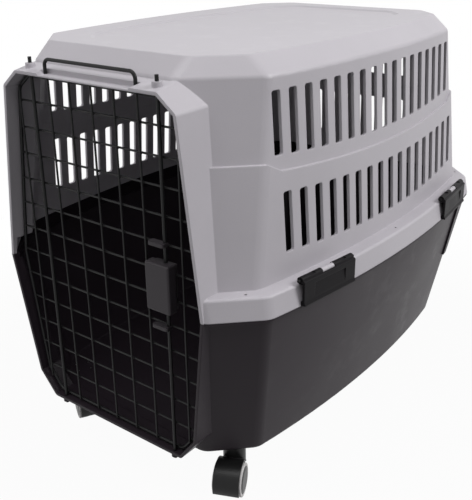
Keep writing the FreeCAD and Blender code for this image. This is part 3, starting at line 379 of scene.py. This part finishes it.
def coil(name, low, high, sizes):
    """A wound spring between two corners, its ends closed up and lying flat."""
    middle = (low + high) / 2
    radius = (high.x - low.x - sizes.spring_wire) / 2
    first = low.z + sizes.spring_wire / 2
    rise = high.z - low.z - sizes.spring_wire
    count = sizes.spring_turns * sizes.spring_steps
    curve = bpy.data.curves.new(name, "CURVE")
    curve.dimensions = "3D"
    curve.bevel_depth = sizes.spring_wire / 2
    curve.bevel_resolution = 3
    curve.use_fill_caps = True
    spline = curve.splines.new("NURBS")
    spline.points.add(count)
    for index, point in enumerate(spline.points):
        share = index / count
        turn = 2 * math.pi * sizes.spring_turns * share
        lift = share - math.sin(2 * math.pi * share) * sizes.spring_closing
        x = middle.x + radius * math.cos(turn)
        y = middle.y + radius * math.sin(turn)
        point.co = (x, y, first + rise * lift, 1.0)
    spline.order_u = 4
    spline.use_endpoint_u = True
    return curve_to_mesh(curve)


def travel(name):
    """How far a sliding joint moves from rest."""
    return next(joint["range_m"][1] for joint in frame["joints"] if joint["name"] == name)


def curve_to_mesh(curve):
    """The mesh of a curve, with the curve put away."""
    holder = bpy.data.objects.new(curve.name, curve)
    bpy.context.scene.collection.objects.link(holder)
    view = bpy.context.evaluated_depsgraph_get()
    mesh = bpy.data.meshes.new_from_object(holder.evaluated_get(view))
    name = curve.name
    bpy.data.objects.remove(holder)
    bpy.data.curves.remove(curve)
    mesh.name = name
    return mesh


# Stage


def make_floor(stage):
    """Pale floor: it keeps the shadow near the object and is plain white to the eye further away."""
    shape = bmesh.new()
    bmesh.ops.create_circle(shape, cap_ends=True, segments=96, radius=stage.floor_radius)
    mesh = bpy.data.meshes.new("floor")
    shape.to_mesh(mesh)
    shape.free()
    floor = bpy.data.objects.new("floor", mesh)
    bpy.context.scene.collection.objects.link(floor)
    material, graph = new_finish("pale_floor")
    distance = graph.node("ShaderNodeVectorMath", {"operation": "LENGTH"}, {0: graph.place()}, "Value")
    far = graph.smooth(distance, stage.shadow_near, stage.shadow_far)
    mottle = graph.noise(graph.place(), stage.floor_mottle, detail=3.0)
    paint = graph.mix(linear(stage.floor_colour, share=0.97), linear(stage.floor_colour, share=1.03), mottle)
    matte = graph.node("ShaderNodeBsdfDiffuse", sockets={"Color": paint})
    white = graph.node("ShaderNodeEmission", sockets={"Color": WHITE, "Strength": 1.0})
    share = stage.floor_white + far * (1.0 - stage.floor_white)
    mixed = graph.node("ShaderNodeMixShader", sockets={0: seen_rays(graph) * share, 1: matte, 2: white})
    graph.node("ShaderNodeOutputMaterial", sockets={"Surface": mixed})
    mesh.materials.append(material)


def seen_rays(graph):
    """1 for rays from the eye, direct or by way of a gloss or a clear piece."""
    kinds = graph.node("ShaderNodeLightPath").socket.node.outputs
    camera, glossy, clear = [Value(graph, kinds[f"Is {kind} Ray"]) for kind in EYE_RAYS]
    return camera.most(glossy).most(clear)


def make_world(stage):
    """White to the eye, and an even soft light on the object."""
    world = bpy.data.worlds.new("studio")
    world.use_nodes = True
    graph = Graph(world.node_tree)
    level = stage.ambient + seen_rays(graph) * (1.0 - stage.ambient)
    sky = graph.node("ShaderNodeBackground", sockets={"Color": WHITE, "Strength": level})
    graph.node("ShaderNodeOutputWorld", sockets={"Surface": sky})
    bpy.context.scene.world = world


def make_lamp(name, place, size, power):
    """A round soft box that points at the middle of the object."""
    lamp = bpy.data.lights.new(name, "AREA")
    lamp.shape = "DISK"
    lamp.size = size
    lamp.energy = power
    holder = bpy.data.objects.new(name, lamp)
    bpy.context.scene.collection.objects.link(holder)
    target = (CAD_LOW + CAD_HIGH) / 2
    holder.location = place
    holder.rotation_mode = "QUATERNION"
    holder.rotation_quaternion = (target - Vector(place)).to_track_quat("-Z", "Y")


def make_camera(stage):
    """The camera at the photograph's angle."""
    data = bpy.data.cameras.new("camera")
    data.sensor_width = stage.sensor
    data.lens = stage.lens
    data.shift_y = stage.shift
    camera = bpy.data.objects.new("camera", data)
    bpy.context.scene.collection.objects.link(camera)
    level = math.cos(stage.pitch)
    look = Vector((-math.sin(stage.yaw) * level, math.cos(stage.yaw) * level, -math.sin(stage.pitch)))
    camera.location = stage.camera_place
    camera.rotation_mode = "QUATERNION"
    camera.rotation_quaternion = look.to_track_quat("-Z", "Y") @ Quaternion((0.0, 0.0, 1.0), stage.roll)
    bpy.context.scene.camera = camera


# Settings


def colour_setting(name, description, default):
    return FloatVectorProperty(name=name, description=description, default=default, size=3,
                               min=0.0, max=1.0, subtype="COLOR_GAMMA")


def length_setting(name, description, default):
    return FloatProperty(name=name, description=description, default=default, min=0.0,
                         precision=5, unit="LENGTH")


def share_setting(name, description, default):
    return FloatProperty(name=name, description=description, default=default, min=0.0, max=1.0,
                         subtype="FACTOR")


def angle_setting(name, description, degrees):
    return FloatProperty(name=name, description=description, default=math.radians(degrees), subtype="ANGLE")


def power_setting(name, description, default):
    return FloatProperty(name=name, description=description, default=default, min=0.0, unit="POWER")


def place_setting(name, description, default):
    return FloatVectorProperty(name=name, description=description, default=default, size=3,
                               subtype="TRANSLATION")


class PetCarrierColours(bpy.types.PropertyGroup):
    """Colours of the carrier, as seen on screen."""

    shell: colour_setting("Top shell", "Upper half", (0.7, 0.685, 0.708))
    base: colour_setting("Base", "Lower half", (0.152, 0.128, 0.15))
    wire: colour_setting("Wire", "Coating of the door and the handle", (0.06, 0.06, 0.063))
    clip: colour_setting("Clips", "Side clips", (0.085, 0.078, 0.087))
    latch: colour_setting("Latch", "Housing of the door latch", (0.178, 0.162, 0.178))
    caster: colour_setting("Casters", "Hoods, mounts and hubs", (0.085, 0.085, 0.087))
    tyre: colour_setting("Tyres", "Rings round the wheels", (0.82, 0.81, 0.81))
    steel: colour_setting("Steel", "Plated axles, screws and springs", (0.72, 0.72, 0.73))


class PetCarrierFinish(bpy.types.PropertyGroup):
    """Scale and strength of the surface detail."""

    shell_roughness: share_setting("Shell roughness", "Roughness of the upper half", 0.46)
    shell_specular: share_setting("Shell specular", "Specular level of the upper half", 0.4)
    base_roughness: share_setting("Base roughness", "Roughness of the lower half", 0.44)
    base_specular: share_setting("Base specular", "Specular level of the lower half", 0.15)
    latch_roughness: share_setting("Latch roughness", "Roughness of the latch's plastic", 0.5)
    latch_specular: share_setting("Latch specular", "Specular level of the latch's plastic", 0.25)
    clip_roughness: share_setting("Clip roughness", "Roughness of the side clips", 0.44)
    clip_specular: share_setting("Clip specular", "Specular level of the side clips", 0.08)
    caster_roughness: share_setting("Caster roughness", "Roughness of the casters' plastic", 0.36)
    caster_specular: share_setting("Caster specular", "Specular level of the casters' plastic", 0.25)
    door_roughness: share_setting("Door roughness", "Roughness of the door's coat", 0.42)
    rod_roughness: share_setting("Rod roughness", "Roughness of the latch rods' coat", 0.36)
    handle_roughness: share_setting("Handle roughness", "Roughness of the handle's coat", 0.34)
    pin_roughness: share_setting("Pin roughness", "Roughness of the clip pins' coat", 0.4)
    plate_roughness: share_setting("Plate roughness", "Least roughness of plated steel", 0.26)
    tyre_roughness: share_setting("Tyre roughness", "Least roughness of the tyres", 0.52)
    wire_specular: share_setting("Wire specular", "Specular level of coated wire", 0.2)
    tyre_specular: share_setting("Tyre specular", "Specular level of the tyres", 0.35)
    cloud_roughness: share_setting("Cloud roughness", "How much a moulding's roughness varies", 0.12)
    rub_polish: share_setting("Rub polish", "How much smoother rubbed patches are", 0.06)
    edge_roughness: share_setting("Edge roughness", "How much rougher edges are", 0.04)
    peel_roughness: share_setting("Peel roughness", "How much a coat's roughness varies", 0.2)
    dust_roughness: share_setting("Dust roughness", "How much rougher dusty wire is", 0.1)
    blotch_roughness: share_setting("Blotch roughness", "How much rougher blotches are", 0.16)
    mark_roughness: share_setting("Mark roughness", "How much turning marks vary the roughness", 0.12)
    bloom_roughness: share_setting("Bloom roughness", "How much rougher the bloom is", 0.16)
    tyre_grain_roughness: share_setting("Tyre grain roughness", "How much the tyres' grain varies it", 0.1)
    # Painted highlight: the share of the paler tone along moulded edges.
    edge_highlight_cover: share_setting("Edge cover", "How fully edges take their paler tone", 0.7)
    dust_cover: share_setting("Dust cover", "How fully dust covers the wire", 0.5)
    bloom_cover: share_setting("Bloom cover", "How fully bloom covers the tyres", 0.6)
    # Painted shade: the share of the darker tone along the tyre's edges and creases.
    tyre_edge_shade_cover: share_setting("Tyre edge cover", "How fully tyre edges darken", 0.25)
    shell_grain: length_setting("Shell grain", "Cell size of the shells' grain", 0.0016)
    trim_grain: length_setting("Trim grain", "Cell size of the clips', latch's and casters' grain", 0.0009)
    grain_depth: length_setting("Grain depth", "Relief of the grain", 0.00006)
    edge_round: length_setting("Edge rounding", "Softening of moulded edges", 0.0018)
    tone: share_setting("Tone", "Change of tone over a moulding", 0.045)
    # Painted highlight: how much paler the moulded edges are painted.
    edge_highlight_tone: share_setting("Edge tone", "How much paler edges are", 0.16)
    cloud_size: length_setting("Cloud size", "Size of the changes of tone", 0.12)
    rub_size: length_setting("Rub size", "Size of rubbed patches", 0.045)
    wire_wave: length_setting("Wire wave", "Length of the waves in the wire's coat", 0.006)
    wire_peel: length_setting("Wire peel", "Size of the coat's orange peel", 0.0009)
    wire_relief: length_setting("Wire relief", "Depth of the coat's waves", 0.0001)
    blotch_size: length_setting("Blotch size", "Size of the blotches in the plate", 0.004)
    mark_size: length_setting("Mark size", "Width of the turning marks", 0.002)
    mark_depth: length_setting("Mark depth", "Depth of the turning marks", 0.00003)
    bloom_size: length_setting("Bloom size", "Size of the tyres' bloom", 0.012)
    tyre_grain: length_setting("Tyre grain", "Size of the tyres' grain", 0.0008)


class PetCarrierSizes(bpy.types.PropertyGroup):
    """Sizes of the small fittings."""

    wire_gap: length_setting("Wire gap", "Least gap that tells two wires apart", 0.006)
    weld_width: length_setting("Weld width", "Width of a weld nugget", 0.0042)
    weld_depth: length_setting("Weld depth", "Thickness of a weld nugget", 0.003)
    weld_variation: share_setting("Weld variation", "How much weld nuggets differ", 0.14)
    spring_wire: length_setting("Spring wire", "Wire of the latch springs", 0.0007)
    spring_turns: IntProperty(name="Spring turns", description="Turns of a latch spring", default=5, min=3)
    spring_steps: IntProperty(name="Spring steps", description="Points on a turn", default=16, min=8)
    spring_closing: share_setting("Spring closing", "How far the end turns close up", 0.08)


class PetCarrierStage(bpy.types.PropertyGroup):
    """Floor, light and camera."""

    floor_radius: length_setting("Floor radius", "Size of the floor", 40.0)
    floor_colour: colour_setting("Floor", "Colour of the floor", (0.58, 0.58, 0.58))
    floor_mottle: length_setting("Floor mottle", "Size of the floor's faint mottle", 0.3)
    floor_white: share_setting("Floor white", "Share of plain white near the object", 0.96)
    shadow_near: length_setting("Shadow near", "Where the floor starts to fade to white", 0.45)
    shadow_far: length_setting("Shadow far", "Where the floor is plain white", 1.1)
    ambient: share_setting("Ambient", "Even light from all round", 0.25)
    key_place: place_setting("Key place", "Main light, right and behind", (2.3, 0.9, 2.3))
    key_size: length_setting("Key size", "Width of the main light", 1.3)
    key_power: power_setting("Key power", "Strength of the main light", 61.0)
    top_place: place_setting("Top place", "Light from above and a little in front", (0.0, -1.2, 2.8))
    top_size: length_setting("Top size", "Width of the top light", 1.8)
    top_power: power_setting("Top power", "Strength of the top light", 34.0)
    fill_place: place_setting("Fill place", "Weak light from the front left", (-1.8, -2.2, 1.4))
    fill_size: length_setting("Fill size", "Width of the front light", 1.6)
    fill_power: power_setting("Fill power", "Strength of the front light", 8.0)
    camera_place: place_setting("Camera place", "Where the camera stands", (0.7595, -1.0306, 0.7825))
    yaw: angle_setting("Yaw", "Turn of the camera to the left", 38.102)
    pitch: angle_setting("Pitch", "Tilt of the camera downwards", 22.633)
    roll: angle_setting("Roll", "Lean of the camera", -0.694)
    sensor: FloatProperty(name="Sensor", description="Long side of the sensor", default=36.0, unit="CAMERA")
    lens: FloatProperty(name="Lens", description="Focal length", default=56.02, unit="CAMERA")
    shift: FloatProperty(name="Shift", description="Vertical shift of the frame", default=-0.0076)


# Operators


class PETCARRIER_OT_shells(bpy.types.Operator):
    """Finish the two moulded halves"""

    bl_idname = "pet_carrier.shells"
    bl_label = "Shells"

    def execute(self, context):
        colours = context.scene.pet_carrier_colours
        look = context.scene.pet_carrier_finish
        dress(moulded("shell_grey", colours.shell, look.shell_roughness, look.shell_grain,
                      look.shell_specular), "top_shell")
        dress(moulded("base_charcoal", colours.base, look.base_roughness, look.shell_grain,
                      look.base_specular), "base_shell")
        return {"FINISHED"}


class PETCARRIER_OT_door(bpy.types.Operator):
    """Finish the wire door and weld its crossings"""

    bl_idname = "pet_carrier.door"
    bl_label = "Door"

    def execute(self, context):
        scene = context.scene
        colours = scene.pet_carrier_colours
        look = scene.pet_carrier_finish
        wire = coated_wire("black_wire", colours.wire, look.door_roughness)
        dress(wire, "door_frame", "door_upright_wires", "door_cross_wires", "door_hinge_rod")
        new_piece("door_welds", weld_beads(scene.pet_carrier_sizes), wire, "door")
        return {"FINISHED"}


class PETCARRIER_OT_latch(bpy.types.Operator):
    """Finish the squeeze latch and wind its springs"""

    bl_idname = "pet_carrier.latch"
    bl_label = "Latch"

    def execute(self, context):
        scene = context.scene
        colours = scene.pet_carrier_colours
        look = scene.pet_carrier_finish
        plastic = moulded("latch_charcoal", colours.latch, look.latch_roughness, look.trim_grain,
                          look.latch_specular)
        dress(plastic, "latch_housing", "latch_back_plate", "upper_finger_tab", "lower_finger_tab")
        coat = coated_wire("latch_rod_black", colours.wire, look.rod_roughness)
        dress(coat, "upper_latch_rod", "lower_latch_rod")
        steel = plated_steel("latch_steel", colours.steel)
        dress(steel, "latch_screws")
        for half, anchor in (("upper", 0), ("lower", 1)):
            node = f"{half}_latch_spring"
            slide = f"{half}_latch_slide"
            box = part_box(node)
            mesh = coil(f"{half}_spring_coil", *box, scene.pet_carrier_sizes)
            piece = new_piece(mesh.name, mesh, steel, "door")
            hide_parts(node)
            keep = 1.0 - travel(slide) / (box[1].z - box[0].z)
            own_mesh(piece)
        return {"FINISHED"}


class PETCARRIER_OT_handle(bpy.types.Operator):
    """Finish the grab handle over the door"""

    bl_idname = "pet_carrier.handle"
    bl_label = "Grab handle"

    def execute(self, context):
        colours = context.scene.pet_carrier_colours
        look = context.scene.pet_carrier_finish
        dress(coated_wire("handle_black", colours.wire, look.handle_roughness), "grab_handle")
        dress(plated_steel("collar_steel", colours.steel), "handle_collars")
        return {"FINISHED"}


class PETCARRIER_OT_clips(bpy.types.Operator):
    """Finish the side clips and their pins"""

    bl_idname = "pet_carrier.clips"
    bl_label = "Side clips"

    def execute(self, context):
        colours = context.scene.pet_carrier_colours
        look = context.scene.pet_carrier_finish
        plastic = moulded("clip_black", colours.clip, look.clip_roughness, look.trim_grain,
                          look.clip_specular)
        dress(plastic, *[f"clip_{place}" for place in CORNERS])
        dress(coated_wire("pin_black", colours.wire, look.pin_roughness), "clip_hinge_pins")
        return {"FINISHED"}


class PETCARRIER_OT_casters(bpy.types.Operator):
    """Finish the casters"""

    bl_idname = "pet_carrier.casters"
    bl_label = "Casters"

    def execute(self, context):
        colours = context.scene.pet_carrier_colours
        look = context.scene.pet_carrier_finish
        plastic = moulded("caster_black", colours.caster, look.caster_roughness, look.trim_grain,
                          look.caster_specular)
        dress(plastic, *[f"caster_hood_{place}" for place in CORNERS])
        dress(plastic, *[f"caster_mount_{place}" for place in CORNERS])
        dress(plastic, *[f"wheel_hub_{wheel}" for wheel in WHEELS])
        dress(tyre_rubber("tyre_grey", colours.tyre), *[f"tyre_{wheel}" for wheel in WHEELS])
        steel = plated_steel("caster_steel", colours.steel)
        dress(steel, "caster_screws", *[f"caster_axle_{place}" for place in CORNERS])
        return {"FINISHED"}


class PETCARRIER_OT_stage(bpy.types.Operator):
    """Lay the floor, hang the lights and stand the camera"""

    bl_idname = "pet_carrier.stage"
    bl_label = "Stage"

    def execute(self, context):
        stage = context.scene.pet_carrier_stage
        make_floor(stage)
        make_world(stage)
        make_lamp("key_light", stage.key_place, stage.key_size, stage.key_power)
        make_lamp("top_light", stage.top_place, stage.top_size, stage.top_power)
        make_lamp("fill_light", stage.fill_place, stage.fill_size, stage.fill_power)
        make_camera(stage)
        context.scene.view_settings.view_transform = "Standard"
        return {"FINISHED"}


OPERATORS = (
    PETCARRIER_OT_shells,
    PETCARRIER_OT_door,
    PETCARRIER_OT_latch,
    PETCARRIER_OT_handle,
    PETCARRIER_OT_clips,
    PETCARRIER_OT_casters,
    PETCARRIER_OT_stage,
)


class PETCARRIER_PT_panel(bpy.types.Panel):
    """The carrier's steps in the sidebar"""

    bl_idname = "PETCARRIER_PT_panel"
    bl_label = "Pet carrier"
    bl_space_type = "VIEW_3D"
    bl_region_type = "UI"
    bl_category = "Pet carrier"

    def draw(self, context):
        for operator in OPERATORS:
            self.layout.operator(operator.bl_idname)
        for name in SETTINGS:
            group = getattr(context.scene, name)
            box = self.layout.box()
            for setting in group.bl_rna.properties:
                if not setting.is_readonly and setting.identifier != "name":
                    box.prop(group, setting.identifier)


SETTINGS = {
    "pet_carrier_colours": PetCarrierColours,
    "pet_carrier_finish": PetCarrierFinish,
    "pet_carrier_sizes": PetCarrierSizes,
    "pet_carrier_stage": PetCarrierStage,
}


def register():
    for name, group in SETTINGS.items():
        bpy.utils.register_class(group)
        setattr(bpy.types.Scene, name, PointerProperty(type=group))
    for operator in OPERATORS:
        bpy.utils.register_class(operator)
    bpy.utils.register_class(PETCARRIER_PT_panel)


def unregister():
    bpy.utils.unregister_class(PETCARRIER_PT_panel)
    for operator in reversed(OPERATORS):
        bpy.utils.unregister_class(operator)
    for name, group in SETTINGS.items():
        delattr(bpy.types.Scene, name)
        bpy.utils.unregister_class(group)


def main():
    register()
    bpy.ops.pet_carrier.shells()
    bpy.ops.pet_carrier.door()
    bpy.ops.pet_carrier.latch()
    bpy.ops.pet_carrier.handle()
    bpy.ops.pet_carrier.clips()
    bpy.ops.pet_carrier.casters()
    bpy.ops.pet_carrier.stage()


if __name__ == "__main__":
    main()
